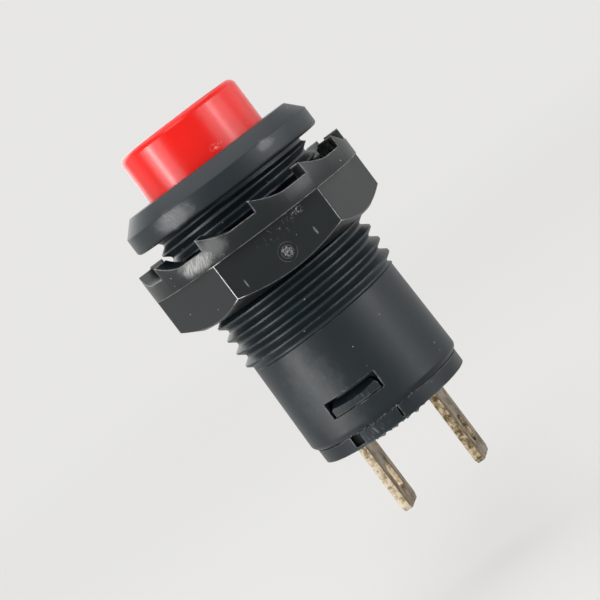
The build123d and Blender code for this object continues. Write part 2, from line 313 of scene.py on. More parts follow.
alike = (1.0, 1.0, 1.0)       # the stretch that gives specks in place of scratches
blackLook = {
    "dark": (9, 19, 24), "light": (16, 27, 32), "wornAndLit": (132, 134, 134), "dust": (196, 194, 188),
    "grainScale": 9000.0, "flowScale": 350.0, "roughness": 0.4, "specular": 0.32, "bump": 0.25,
    # the lighter edges are partly wear and partly a painted highlight along edges and thread crests
    "edgeWidth": 0.12, "edgeSpread": 0.6, "edgeStrength": 0.6,
    "dustScale": 1700.0, "dustSize": 0.075, "dustShare": 0.22, "scuffsAndSheen": [],
}
housingLook = dict(blackLook, scuffsAndSheen=[
    # these two, on the flange rim, are scuffs and painted highlights where the side lamps' highlights fall
    scuffAndSheen((-2.0, -6.9, 0.7), (2.0, 1.4, 0.85), 0.6, 0.75, slant=35, fineness=9000.0, paintedSheen=0.45),
    scuffAndSheen((5.1, -5.0, 1.0), (0.8, 0.9, 0.45), 0.6, 0.75, slant=40, fineness=9000.0, paintedSheen=0.45),
    # these two, on the left of the body, are scuffs and specks with a painted sheen that lightens that side
    scuffAndSheen((-2.0, -5.3, -14.0), (2.8, 2.0, 5.0), 0.45, 0.3, fineness=8000.0, paintedSheen=0.35),
    scuffAndSheen((-3.2, -4.5, -11.4), (1.2, 1.6, 1.0), 0.35, 0.18, fineness=2600.0, stretch=alike),
    scuffAndSheen((-0.6, -5.7, -14.3), (1.9, 0.6, 0.22), 0.5, 0.3, stretch=alike),
])
nutLook = dict(
    blackLook, dark=(3, 11, 14), light=(9, 17, 20), wornAndLit=(160, 161, 158), edgeStrength=0.5,
    edgeSpread=0.7, roughness=0.37, dustShare=0.4, scuffsAndSheen=[
        # these two, on the ring at the upper left, are scuffs with a painted sheen where the light falls
        scuffAndSheen((-2.3, -7.7, -2.35), (2.0, 1.4, 0.75), 0.75, 0.95, slant=-35, fineness=8000.0, paintedSheen=0.5),
        scuffAndSheen((-0.6, -7.9, -2.1), (1.3, 1.0, 0.9), 0.45, 0.6, slant=-60, fineness=9000.0, paintedSheen=0.4),
        scuffAndSheen((4.1, -5.9, -3.4), (1.1, 1.0, 0.4), 0.52, 1.0, stretch=alike),
        scuffAndSheen((2.7, -6.3, -3.7), (2.0, 1.3, 0.7), 0.36, 0.7, stretch=alike),
        scuffAndSheen((-0.5, -7.6, -5.1), (0.07, 0.3, 0.4), 0.9, 0.45, fineness=9000.0),
        scuffAndSheen((4.6, -5.8, -5.1), (0.1, 0.4, 0.35), 0.9, 0.5, slant=30, fineness=9000.0),
        scuffAndSheen((6.7, -3.9, -3.3), (0.6, 0.6, 0.25), 0.5, 0.8, stretch=alike),
        scuffAndSheen((2.54, -6.55, -5.1), (0.5, 0.5, 0.5), 0.6, 0.8, stretch=alike),
    ])
# the nut's rounded edges: a lighter copy of its plastic, partly edge wear and partly a painted highlight; its
# two patches paint highlights down the hexagon's corners
nutEdgeHighlightLook = dict(
    nutLook, dark=(44, 49, 51), light=(78, 82, 83), wornAndLit=(236, 236, 230), flowScale=1300.0,
    dustShare=0.0, scuffsAndSheen=[
        scuffAndSheen((-1.46, -7.95, -4.6), (0.9, 0.9, 3.0), 1.0, 0.95, fineness=1600.0, stretch=alike, paintedSheen=0.5),
        scuffAndSheen((6.15, -5.24, -4.7), (0.7, 0.7, 2.0), 0.8, 0.5, fineness=1600.0, stretch=alike, paintedSheen=0.2),
    ])
# near black, darker than the plastic round it: painted shade of the recess the lumps sit in
tornShadeLook = dict(blackLook, dark=(5, 6, 7), light=(12, 14, 14), roughness=0.8, specular=0.08,
                dustShare=0.0, edgeStrength=0.04, flowScale=2000.0)
plugLook = dict(blackLook, dark=(12, 21, 26), light=(20, 29, 34), edgeStrength=0.5, scuffsAndSheen=[
    scuffAndSheen((-0.6, -5.5, -17.7), (1.6, 0.8, 0.5), 0.5, 0.4, slant=15, fineness=3600.0,
          stretch=(1.0, 1.0, 0.25)),
    scuffAndSheen((0.0, -5.6, -15.2), (1.9, 0.5, 0.5), 0.45, 0.3, fineness=6000.0, stretch=(1.0, 1.0, 0.2)),
])
buttonLook = {
    "dark": (214, 10, 0), "light": (218, 14, 2), "wornAndLit": (244, 170, 158), "dust": (244, 200, 190),
    "grainScale": 3000.0, "flowScale": 200.0, "roughness": 0.25, "specular": 0.35, "bump": 0.04,
    "edgeWidth": 0.2, "edgeSpread": 0.3, "edgeStrength": 0.15,
    "dustScale": 900.0, "dustSize": 0.06, "dustShare": 0.1, "scuffsAndSheen": [
        scuffAndSheen((2.2, -4.0, 2.75), (0.55, 0.5, 0.3), 0.6, 0.9, stretch=alike),
        scuffAndSheen((-2.3, -3.9, 2.9), (0.35, 0.4, 0.6), 0.3, 0.4, stretch=(1.0, 1.0, 0.2)),
    ],
}
innerLook = dict(blackLook, dark=(186, 186, 180), light=(206, 205, 198), wornAndLit=(214, 214, 208))
tinnedLook = {
    "clean": (232, 216, 192), "tarnish": (136, 117, 86), "speck": (84, 70, 46), "bare": (248, 240, 222),
    "blotScale": 2600.0, "stainLow": 0.42, "stainHigh": 0.66, "grainScale": 9000.0,
    "speckScale": 4600.0, "speckShare": 0.2, "roughness": 0.3, "bump": 0.6, "metallic": 1.0,
    "edgeWidth": 0.07, "edgeStrength": 0.5,
}
# a darker copy of the tinned brass, given to the right blade
rightBladeLook = dict(tinnedLook, clean=(206, 188, 158), tarnish=(98, 82, 56), stainLow=0.36, stainHigh=0.6)
# for the blades' broad faces: tarnish, and a painted dark reflection of what lies beside them
tarnishedShadedLook = dict(tinnedLook, clean=(122, 103, 70), tarnish=(76, 59, 36), speck=(50, 40, 24),
                     bare=(226, 208, 160), blotScale=1500.0, edgeStrength=0.7)
brassLook = dict(tinnedLook, clean=(214, 178, 96), tarnish=(170, 128, 62), speck=(110, 80, 40),
                 bare=(232, 204, 130), blotScale=1500.0)
steelLook = dict(tinnedLook, clean=(196, 196, 192), tarnish=(150, 150, 146), speck=(90, 88, 84),
                 bare=(222, 222, 220), blotScale=1500.0, roughness=0.28)

housingPlastic = mouldedPlastic("housingPlastic", housingLook)
nutPlastic = mouldedPlastic("nutPlastic", nutLook)
nutEdgeHighlightPlastic = mouldedPlastic("nutEdgeHighlightPlastic", nutEdgeHighlightLook)
plugPlastic = mouldedPlastic("plugPlastic", plugLook)
tornShadePlastic = mouldedPlastic("tornShadePlastic", tornShadeLook)
buttonPlastic = mouldedPlastic("buttonPlastic", buttonLook)
innerPlastic = mouldedPlastic("innerPlastic", innerLook)
tinnedBrass = metalSheet("tinnedBrass", tinnedLook)
rightBladeBrass = metalSheet("rightBladeBrass", rightBladeLook)
tarnishedShadedBrass = metalSheet("tarnishedShadedBrass", tarnishedShadedLook)
contactBrass = metalSheet("contactBrass", brassLook)
springSteel = metalSheet("springSteel", steelLook)
print("materials made")


# geometry trees
def newShapeTree(name, inputs):
    # inputs: the kind of each, besides the geometry and the material that every tree takes
    tree = bpy.data.node_groups.new(name, "GeometryNodeTree")
    tree.is_modifier = True
    for label, kind in {"Geometry": "Geometry", **inputs, "Material": "Material"}.items():
        tree.interface.new_socket(label, in_out="INPUT", socket_type="NodeSocket" + kind)
    tree.interface.new_socket("Geometry", in_out="OUTPUT", socket_type="NodeSocketGeometry")
    return tree, tree.nodes.new("NodeGroupInput").outputs, tree.nodes.new("NodeGroupOutput").inputs


def sweptGrid(tree, given, columns):
    # a grid with one row for each point of the outline
    # gives the mesh, the column number and the outline's x and z
    count = addNode(tree, "GeometryNodeAttributeDomainSize", {"Geometry": given["Geometry"]})
    count = count.outputs["Point Count"]
    grid = addNode(tree, "GeometryNodeMeshGrid", {"Size X": 1.0, "Size Y": 1.0, "Vertices X": columns,
                                                  "Vertices Y": count})
    index = tree.nodes.new("GeometryNodeInputIndex").outputs[0]
    column = calc(tree, "FLOOR", calc(tree, "DIVIDE", plus(tree, index, 0.5), count))
    row = minus(tree, index, times(tree, column, count))
    sample = addNode(tree, "GeometryNodeSampleIndex", {
        "Geometry": given["Geometry"], "Value": tree.nodes.new("GeometryNodeInputPosition").outputs[0],
        "Index": calc(tree, "FLOOR", plus(tree, row, 0.5))}, data_type="FLOAT_VECTOR")
    outline = addNode(tree, "ShaderNodeSeparateXYZ", {0: sample.outputs[0]})
    return grid.outputs["Mesh"], column, outline.outputs["X"], outline.outputs["Z"]


def placeRound(tree, mesh, radius, angle, level):
    # puts the grid's points round the switch axis
    place = addNode(tree, "ShaderNodeCombineXYZ", {
        "X": times(tree, radius, calc(tree, "COSINE", angle)),
        "Y": times(tree, radius, calc(tree, "SINE", angle)), "Z": level})
    return addNode(tree, "GeometryNodeSetPosition", {"Geometry": mesh, "Position": place.outputs[0]})


def finishTree(tree, given, result, node, distance):
    for kind, inputs in (("RealizeInstances", {}), ("MergeByDistance", {"Distance": distance}),
                         ("SetMaterial", {"Material": given["Material"]})):
        node = addNode(tree, "GeometryNode" + kind, {"Geometry": node.outputs[0], **inputs})
    feed(tree, result["Geometry"], node.outputs[0])
    return tree


def buildTurnedShape():
    # spins an outline round the switch axis
    tree, given, result = newShapeTree("turnedShape", {"Columns": "Int"})
    mesh, column, radius, level = sweptGrid(tree, given, plus(tree, given["Columns"], 1.0))
    angle = times(tree, calc(tree, "DIVIDE", column, given["Columns"]), 2 * pi)
    return finishTree(tree, given, result, placeRound(tree, mesh, radius, angle, level), 0.0000004)


def buildHelicalSweep():
    # carries a closed outline along a helix: a coil, or the cutter of a thread
    tree, given, result = newShapeTree("helicalSweep", {
        "Turns": "Float", "Steps": "Int", "Radius": "Float", "Lead": "Float", "End Turns": "Float",
        "End Lead": "Float", "Start Angle": "Float", "Start Level": "Float", "Run Out": "Float",
        "Run Out Lift": "Float"})
    last = calc(tree, "FLOOR", plus(tree, times(tree, given["Turns"], given["Steps"]), 0.5))
    mesh, column, outlineX, outlineZ = sweptGrid(tree, given, plus(tree, last, 3.0))
    step = calc(tree, "MINIMUM", minus(tree, column, 1.0), last)
    turn = calc(tree, "DIVIDE", calc(tree, "MAXIMUM", step, 0.0), given["Steps"])
    # near both ends the sweep moves outwards
    toEnd = calc(tree, "MINIMUM", turn, minus(tree, given["Turns"], turn))
    rise = calc(tree, "MAXIMUM", minus(tree, given["Run Out"], toEnd), 0.0)
    rise = calc(tree, "DIVIDE", rise, calc(tree, "MAXIMUM", given["Run Out"], 0.001))
    lift = times(tree, times(tree, rise, rise), given["Run Out Lift"])
    # the first and the last column close the ends: there the outline shrinks to a point
    size = times(tree, calc(tree, "GREATER_THAN", column, 0.5),
                calc(tree, "LESS_THAN", column, plus(tree, last, 1.5)))
    radius = plus(tree, plus(tree, given["Radius"], lift), times(tree, outlineX, size))
    # the turns at both ends have a lead of their own
    active = minus(tree, given["Turns"], times(tree, given["End Turns"], 2.0))
    opened = calc(tree, "MAXIMUM", minus(tree, turn, given["End Turns"]), 0.0)
    opened = calc(tree, "MINIMUM", opened, active)
    extra = times(tree, opened, minus(tree, given["Lead"], given["End Lead"]))
    level = plus(tree, plus(tree, given["Start Level"], extra), times(tree, turn, given["End Lead"]))
    level = plus(tree, level, times(tree, outlineZ, size))
    angle = plus(tree, given["Start Angle"], times(tree, turn, 2 * pi))
    return finishTree(tree, given, result, placeRound(tree, mesh, radius, angle, level), 0.0000004)


def buildRingArray():
    # repeats one sector round the switch axis
    tree, given, result = newShapeTree("ringArray", {"Count": "Int"})
    points = addNode(tree, "GeometryNodePoints", {"Count": given["Count"]})
    index = tree.nodes.new("GeometryNodeInputIndex").outputs[0]
    turn = times(tree, calc(tree, "DIVIDE", index, given["Count"]), 2 * pi)
    angles = addNode(tree, "ShaderNodeCombineXYZ", {"Z": turn})
    copies = addNode(tree, "GeometryNodeInstanceOnPoints", {
        "Points": points.outputs[0], "Instance": given["Geometry"], "Rotation": angles.outputs[0]})
    return finishTree(tree, given, result, copies, 0.000001)


turnedShape = buildTurnedShape()
helicalSweep = buildHelicalSweep()
ringArray = buildRingArray()


# mesh helpers
def newMesh(name, points, edges, faces):
    # points in millimetres
    mesh = bpy.data.meshes.new(name)
    mesh.from_pydata([[value * mm for value in point] for point in points], edges, faces)
    return mesh


def outlineMesh(points):
    # (x, z) points joined by edges
    edges = [(number, number + 1) for number in range(len(points) - 1)]
    return newMesh("outline", [(x, 0, z) for x, z in points], edges, [])


def newObject(name, data):
    thing = bpy.data.objects.new(name, data)
    bpy.context.scene.collection.objects.link(thing)
    return thing


def settle(thing):
    # takes what the modifiers give as the object's own plain mesh
    depsgraph = bpy.context.evaluated_depsgraph_get()
    mesh = bpy.data.meshes.new_from_object(thing.evaluated_get(depsgraph), preserve_all_data_layers=True,
                                           depsgraph=depsgraph)
    thing.modifiers.clear()
    thing.data = mesh
    return thing


def faceOutwards(thing):
    shape = bmesh.new()
    shape.from_mesh(thing.data)
    bmesh.ops.dissolve_degenerate(shape, dist=1e-8, edges=shape.edges)
    bmesh.ops.recalc_face_normals(shape, faces=shape.faces)
    shape.to_mesh(thing.data)
    shape.free()
    return thing


def runTree(name, tree, mesh, material, values):
    thing = newObject(name, mesh)
    modifier = thing.modifiers.new("shape", "NODES")
    modifier.node_group = tree
    sockets = {item.name: item.identifier for item in tree.interface.items_tree
               if item.item_type == "SOCKET" and item.in_out == "INPUT"}
    for key, value in {"Material": material, **values}.items():
        modifier[sockets[key]] = value
    return paint(faceOutwards(settle(thing)), material)


def copyOfNode(node, name):
    # a merged copy of a CAD node's loose triangles, its flat faces whole again
    shape = bmesh.new()
    shape.from_mesh(frame["nodes"][node].data)
    bmesh.ops.remove_doubles(shape, verts=shape.verts, dist=1e-6)
    bmesh.ops.dissolve_limit(shape, angle_limit=radians(0.5), verts=shape.verts, edges=shape.edges)
    bmesh.ops.recalc_face_normals(shape, faces=shape.faces)
    mesh = bpy.data.meshes.new(name)
    shape.to_mesh(mesh)
    shape.free()
    for layer in ("custom_normal", "sharp_edge", "sharp_face"):
        if layer in mesh.attributes:
            mesh.attributes.remove(mesh.attributes[layer])
    return newObject(name, mesh)


def booleanWith(thing, other, operation):
    modifier = thing.modifiers.new("cut", "BOOLEAN")
    modifier.operation = operation
    modifier.solver = "EXACT"
    modifier.material_mode = "TRANSFER"
    modifier.object = other
    settle(thing)
    bpy.data.objects.remove(other)
    return thing


def roundEdges(thing, width, segments, angle, slot=-1):
    # the new faces take the material of the given slot
    modifier = thing.modifiers.new("edges", "BEVEL")
    modifier.width = width * mm
    modifier.segments = segments
    modifier.limit_method = "ANGLE"
    modifier.angle_limit = radians(angle)
    modifier.miter_outer = "MITER_ARC"
    modifier.material = slot
    return settle(thing)


def shadeSmooth(thing, angle=35):
    thing.data.shade_smooth()
    thing.data.set_sharp_from_angle(angle=radians(angle))
    return thing


def weighNormals(thing):
    modifier = thing.modifiers.new("normals", "WEIGHTED_NORMAL")
    modifier.keep_sharp = True
    modifier.weight = 60
    return settle(thing)


def paint(thing, material):
    thing.data.materials.clear()
    thing.data.materials.append(material)
    for face in thing.data.polygons:
        face.material_index = 0
    return thing


def tornLump(name, size, material, seed, bumps, torn):
    # a closed lump of torn plastic round its own origin, size in millimetres
    shape = bmesh.new()
    bmesh.ops.create_icosphere(shape, subdivisions=3, radius=1.0)
    for vertex in shape.verts:
        place = vertex.co * bumps + Vector((seed, 0, 0))
        swell = 1 + torn * (noise.noise(place) + 0.5 * noise.noise(place * 3))
        vertex.co = Vector([side * value * swell * mm / 2 for side, value in zip(size, vertex.co)])
    mesh = bpy.data.meshes.new(name)
    shape.to_mesh(mesh)
    shape.free()
    return paint(faceOutwards(newObject(name, mesh)), material)


def raggedFin(name, form, material):
    # a thin curved strip of moulding flash with a ragged free edge, its span in degrees from -Y towards +X
    low, high = form["span"]
    steps = round((high - low) * form["steps"])
    vertices, faces = [], []
    for step in range(steps + 1):
        share = step / steps
        angle = radians(low + (high - low) * share - 90)
        place = Vector((share * form["bumps"], form["seed"], 0))
        # the strip fades out at both ends
        fade = min(1, 6 * share, 6 * (1 - share))
        ragged = max(0.05, 0.5 + 1.1 * noise.noise(place) + 0.6 * noise.noise(place * 4))
        drop = form["height"] * fade * ragged
        lean = form["thickness"] * 0.6 * noise.noise(place * 2 + Vector((0, 9, 0)))
        inner, outer = form["radius"] - form["thickness"], form["radius"]
        for radius, level in ((inner, 0), (outer, 0), (outer + lean, -drop), (inner + lean, -drop)):
            vertices.append((radius * cos(angle), radius * sin(angle), form["level"] + level))
        if step:
            for side in range(4):
                after = (side + 1) % 4
                faces.append((4 * step - 4 + side, 4 * step - 4 + after, 4 * step + after, 4 * step + side))
    faces += [(0, 1, 2, 3), (4 * steps + 3, 4 * steps + 2, 4 * steps + 1, 4 * steps)]
    return paint(faceOutwards(newObject(name, newMesh(name, vertices, [], faces))), material)


def roundedOutline(points, steps=5):
    # (x, z, corner radius) points: each corner becomes an arc
    outline = []
    for number, (x, z, r) in enumerate(points):
        here = Vector((x, z))
        if r == 0 or number in (0, len(points) - 1):
            outline.append((x, z))
            continue
        before = (Vector(points[number - 1][:2]) - here).normalized()
        after = (Vector(points[number + 1][:2]) - here).normalized()
        half = before.angle(after) / 2
        reach = r / tan(half)
        centre = here + (before + after).normalized() * (r / sin(half))
        start = here + before * reach - centre
        end = here + after * reach - centre
        for step in range(steps + 1):
            share = step / steps
            arm = start.lerp(end, share).normalized() * r
            outline.append(tuple(centre + arm))
    return outline


# housing: flange, threaded barrel and body
housingForm = {
    "columns": 192,
    "flangeRimHeight": 1.3,
    "flangeBevel": 0.95,
    "flangeEdge": 0.13,
    "flangeLowerEdge": 0.24,
    "neckRadius": 5.7,
    "neckHeight": 0.3,
    "crestRadius": 6.0,
    "threadLead": 0.25,
    "barrelEnd": -10.2,
    "bodyTopRadius": 5.65,
    "bodyBottomRadius": 5.8,
    "bodyEdge": 0.25,
    "wallRadius": 5.3,        # what lies farther out on the CAD node is moved clear
    "clearance": 3.0,
    "windowHalf": 2.1,
    "windowLevels": (-15.7, -14.3),
}
threadForm = {
    "pitch": 1.0,
    "rootRadius": 5.53,
    "root": [(0.0, 0.03), (0.02, 0.09), (0.065, 0.152)],    # rounded foot: height, half width
    "depth": 0.51,            # a little past the crest, and clear of the next turn
    "topWidth": 0.938,
    "crestPhase": 0.56,       # level of a crest at angle 0, as a share of the pitch
    "firstLevel": -10.57,
    "turns": 10.6,
    "runOut": 0.35,
    "runOutLift": 0.75,
    "steps": 120,
}


def makeHousing(form, thread):
    top = housingBox[1].z / mm
    bottom = housingBox[0].z / mm
    rim = housingBox[1].x / mm
    crest, lead = form["crestRadius"], form["threadLead"]
    outline = roundedOutline([
        (0.0, top, 0),
        (rim - form["flangeBevel"], top, form["flangeEdge"]),
        (rim, form["flangeRimHeight"], form["flangeEdge"]),
        (rim, 0.0, form["flangeLowerEdge"]),
        (form["neckRadius"], 0.0, 0.05),
        (form["neckRadius"], -form["neckHeight"], 0.05),
        (crest, -form["neckHeight"] - lead, 0),
        (crest, form["barrelEnd"] + lead, 0),
        (form["bodyTopRadius"], form["barrelEnd"], 0.08),
        (form["bodyBottomRadius"], bottom + form["bodyEdge"], 0.45),
        (form["bodyBottomRadius"] - form["bodyEdge"], bottom, 0),
        (0.0, bottom, 0),
    ])
    blank = runTree("housingShell", turnedShape, outlineMesh(outline), housingPlastic,
                    {"Columns": form["columns"]})

    # the groove's outline, carried along a right-handed helix, cuts the thread
    side = thread["root"] + [(thread["depth"], thread["topWidth"] / 2)]
    groove = [(0, -side[0][1])] + side + [(height, -width) for height, width in reversed(side)]
    # at angle 0 the middle of a groove lies half a pitch from a crest
    middle = thread["crestPhase"] + 0.5
    startAngle = 360 * (thread["firstLevel"] - middle) / thread["pitch"]
    cutter = runTree("threadCutter", helicalSweep, outlineMesh(groove), housingPlastic, {
        "Turns": thread["turns"], "Steps": thread["steps"], "Radius": thread["rootRadius"] * mm,
        "Lead": thread["pitch"] * mm, "End Turns": 0.0, "End Lead": thread["pitch"] * mm,
        "Start Angle": radians(startAngle), "Start Level": thread["firstLevel"] * mm,
        "Run Out": thread["runOut"], "Run Out Lift": thread["runOutLift"] * mm})
    booleanWith(blank, cutter, "DIFFERENCE")

    # everything inside the wall, and the windows, come from the CAD node with its outside moved clear
    core = copyOfNode("housing", "housingCore")
    clear = form["clearance"] * mm
    windowLow, windowHigh = [level * mm for level in form["windowLevels"]]
    for vertex in core.data.vertices:
        place = vertex.co
        radius = Vector((place.x, place.y, 0)).length
        if radius > form["wallRadius"] * mm:
            if abs(place.x) < form["windowHalf"] * mm and windowLow < place.z < windowHigh:
                place.y += clear if place.y > 0 else -clear
            else:
                place.xy = place.xy * ((radius + clear) / radius)
        for end, way in zip(housingBox, (-1, 1)):
            # its ends reach past those of the shell
            if abs(place.z - end.z) < 0.01 * mm:
                place.z += way * mm
    booleanWith(blank, core, "INTERSECT")
    paint(weighNormals(shadeSmooth(blank, 30)), housingPlastic)
    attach(blank, "housing")
    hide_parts("housing")
    return blank


housingShell = makeHousing(housingForm, threadForm)
print("housing made", len(housingShell.data.polygons))


# nut: hexagon with a ring of ratchet teeth
nutForm = {
    "acrossFlats": 14.0,
    "bore": 6.05,
    "boreEdge": 0.3,
    "ringWall": 1.1,
    "pocket": 0.6,
    "faceInset": 0.15,
    "chamfer": 30.0,
    "hexHeight": 3.22,
    "ringHeight": 1.17,
    "toothRun": 0.55,         # share of the pitch that the ramp takes
    "rampSteps": 9,
    "rampCurve": 1.6,
    "valleySteps": 5,
    "turn": 19.6,
    "edge": 0.08,
    "gateShift": 0.2,
    "gateLevel": -5.12,
    "gateRadius": 0.6,
    "gateDepth": 0.045,
    "gateInner": 0.72,        # inner radius of the ring, as a share of the outer
    "gateDraft": 0.05,
    "gateStub": (0.58, 0.6, 0.17),
    # each lump: degrees from -Y towards +X, radius, level, size
    "lumps": [
        (74, 7.6, -1.65, (0.75, 0.7, 1.1)),
        (77, 7.45, -1.57, (0.7, 0.7, 1.15)),
        (70, 7.55, -1.92, (0.7, 0.6, 0.6)),
        (79, 7.2, -1.6, (0.7, 0.7, 1.0)),
    ],
    "lumpRoof": 0.03,
    "lumpSink": 0.5,
}
toothPitch = 30.0             # degrees: two teeth on each flat of the hexagon


def makeToothColumns(form, valley, top):
    # angle and top level of each column of one sector: a ramp falls from each tooth's steep side
    run = toothPitch * form["toothRun"]
    columns = []
    for start in (0, toothPitch):
        columns.append((start, valley))
        for step in range(form["rampSteps"] + 1):
            share = step / form["rampSteps"]
            fall = 1 - (1 - share) ** form["rampCurve"]
            columns.append((start + run * share, valley + (top - valley) * (1 - fall)))
        for step in range(1, form["valleySteps"]):
            columns.append((start + run + (toothPitch - run) * step / form["valleySteps"], valley))
    return columns + [(2 * toothPitch, valley)]


def makeNutSector(form, bottom, top):
    # one sixth of the nut, open at both sides
    ledge = bottom + form["hexHeight"]
    valley = ledge + form["ringHeight"]
    ring = form["acrossFlats"] / 2 / cos(radians(30))
    ringInside = ring - form["ringWall"]
    faceRadius = form["acrossFlats"] / 2 - form["faceInset"]
    pocketFloor = valley - form["pocket"]
    columns = makeToothColumns(form, valley, top)
    vertices, rows = [], 0
    for angle, level in columns:
        flat = form["acrossFlats"] / 2 / cos(radians(angle - 30))
        cone = bottom + (flat - faceRadius) * tan(radians(form["chamfer"]))
        column = [
            (form["bore"], bottom + form["boreEdge"]), (form["bore"] + form["boreEdge"], bottom),
            (faceRadius, bottom), (flat, cone), (flat, ledge), (ring, ledge), (ring, valley), (ring, level),
            (ringInside, level), (ringInside, valley), (ringInside, pocketFloor), (form["bore"], pocketFloor),
        ]
        rows = len(column)
        turn = radians(angle)
        vertices += [(r * cos(turn), r * sin(turn), z) for r, z in column]
    faces = []
    for first in range(0, rows * (len(columns) - 1), rows):
        for row in range(rows):
            after = (row + 1) % rows
            faces.append((first + row, first + after, first + rows + after, first + rows + row))
    sector = newMesh("nutSector", vertices, [], faces)
    shape = bmesh.new()
    shape.from_mesh(sector)
    bmesh.ops.remove_doubles(shape, verts=shape.verts, dist=1e-7)
    shape.to_mesh(sector)
    shape.free()
    return sector


def addGateMark(nut, form):
    # on one flat: a shallow ring round a torn stub
    facing = radians(form["turn"])
    outward = Vector((sin(facing), -cos(facing), 0))
    along = Vector((cos(facing), sin(facing), 0))
    gate = along * form["gateShift"] + Vector((0, 0, form["gateLevel"])) + outward * form["acrossFlats"] / 2
    onFlat = Matrix.Translation(gate * mm) @ outward.to_track_quat("Z", "Y").to_matrix().to_4x4()
    outer, deep, draft = form["gateRadius"], form["gateDepth"], form["gateDraft"]
    inner, above = outer * form["gateInner"], 0.1
    groove = [(inner, -deep), (outer, -deep), (outer + draft, above), (inner - draft, above), (inner, -deep)]
    cutter = runTree("gateRing", turnedShape, outlineMesh(groove), nutPlastic, {"Columns": 32})
    cutter.data.transform(onFlat)
    booleanWith(nut, cutter, "DIFFERENCE")
    stub = tornLump("gateStub", form["gateStub"], nutPlastic, seed=3.0, bumps=2.2, torn=0.8)
    stub.data.transform(onFlat)
    booleanWith(nut, stub, "UNION")


def addTornTeeth(nut, form, top):
    # torn plastic between two of the teeth, in a near-black material that paints the shade of the recess
    for number, (angle, radius, level, size) in enumerate(form["lumps"]):
        turn = radians(angle)
        lump = tornLump("tornTooth", size, tornShadePlastic, seed=5.0 + number, bumps=2.6, torn=0.75)
        lump.data.transform(Matrix.Translation(Vector((sin(turn) * radius, -cos(turn) * radius, level)) * mm))
        for vertex in lump.data.vertices:
            # what would stand above the teeth is sunk, so that the flange clears it
            over = max(0, vertex.co.z - (top - form["lumpRoof"]) * mm)
            vertex.co.z -= over * (1 + form["lumpSink"])
        booleanWith(nut, lump, "UNION")


def makeNut(form):
    bottom, top = nutBox[0].z / mm, nutBox[1].z / mm
    nut = runTree("hexNut", ringArray, makeNutSector(form, bottom, top), nutPlastic, {"Count": 6})
    nut.data.transform(Matrix.Rotation(radians(form["turn"]), 4, "Z"))
    # the rounded edges take the lighter edge material: wear with a painted highlight
    nut.data.materials.append(nutEdgeHighlightPlastic)
    roundEdges(nut, form["edge"], 3, 32, slot=1)
    addGateMark(nut, form)
    addTornTeeth(nut, form, top)
    weighNormals(shadeSmooth(nut, 40))
    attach(nut, "nut")
    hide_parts("hex_nut")
    return nut


hexNut = makeNut(nutForm)
print("nut made", len(hexNut.data.polygons))


# button cap
buttonForm = {
    "columns": 128,
    "arcSteps": 8,
    "wall": 0.9,
    "topThickness": 1.1,
    "edge": 0.5,
    "shoulder": 0.8,          # how far in from the wall the top starts to fall
    "dome": 0.05,
    "stemRadius": 2.21,
    "bossWall": 0.9,
    "bossGap": 1.0,
}


def makeButton(form):
    radius = buttonBox[1].x / mm
    top = buttonBox[1].z / mm
    skirt = buttonBox[0].z / mm
    ceiling = top - form["topThickness"]
    boss = form["stemRadius"] + form["bossWall"]
    outline = roundedOutline([
        (0.0, top, 0),
        (radius - form["shoulder"], top - form["dome"] * 0.6, 0.6),
        (radius, top - form["dome"], form["edge"]),
        (radius, skirt, 0.1),
        (radius - form["wall"], skirt, 0.1),
        (radius - form["wall"], ceiling, 0.2),
        (boss, ceiling, 0.15),
        (boss, skirt + form["bossGap"], 0.1),
        (form["stemRadius"], skirt + form["bossGap"], 0.05),
        (form["stemRadius"], ceiling, 0.05),
        (0.0, ceiling, 0),
    ], form["arcSteps"])
    cap = runTree("buttonCap", turnedShape, outlineMesh(outline), buttonPlastic,
                  {"Columns": form["columns"]})
    shadeSmooth(cap, 40)
    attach(cap, "button")
    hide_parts("button")


makeButton(buttonForm)
print("button made")


# base plug, blades and contacts
plugForm = {
    "gap": 0.06,              # shadow gap under the body's edge
    "gapDepth": 0.16,
    "rimRadius": 5.55,
    "closed": (-30.0, 45.0),  # where the gap is torn shut, in degrees from -Y towards +X
    "fade": 4.0,
    "tornScale": 1600.0,
    "tornMean": 0.75,
    "tornSwing": 0.9,
    "fill": 1.35,             # at the torn edge's mean height this just shuts the gap
    "overlap": 0.02,
}
rimFlash = {
    "span": (-15.0, 40.0), "radius": 5.5, "level": -18.06, "height": 0.18, "thickness": 0.07,
    "bumps": 16.0, "seed": 2.0, "steps": 5,
}
partingFlash = {
    "span": (-28.0, 42.0), "radius": 5.62, "level": -16.97, "height": 0.24, "thickness": 0.16,
    "bumps": 22.0, "seed": 7.0, "steps": 5,
}
bladeForm = {"edge": 0.05}
leafForm = {"edge": 0.03, "keep": 0.62}


def makePlug(form):
    plug = copyOfNode("base_plug", "basePlug")
    parting = housingBox[0].z / mm
    inner, outer = form["rimRadius"] - form["gapDepth"], form["rimRadius"] + 0.3
    under, over = parting - form["gap"], parting + 0.2
    ring = [(inner, under), (outer, under), (outer, over), (inner, over), (inner, under)]
    cutter = runTree("gapRing", turnedShape, outlineMesh(ring), plugPlastic, {"Columns": 240})
    low, high = form["closed"]
    for vertex in cutter.data.vertices:
        place = vertex.co
        if place.z < parting * mm:
            # across the front the floor of the gap rises and falls, and mostly shuts it
            angle = degrees(atan2(place.x, -place.y))
            inside = min(1, max(0, min(angle - low, high - angle) / form["fade"]))
            torn = form["tornMean"] + form["tornSwing"] * noise.noise(place * form["tornScale"])
            place.z += min(form["gap"] + form["overlap"], form["gap"] * inside * form["fill"] * torn) * mm
    booleanWith(plug, cutter, "DIFFERENCE")
    paint(weighNormals(shadeSmooth(plug)), plugPlastic)
    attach(plug, "housing")
    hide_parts("base_plug")


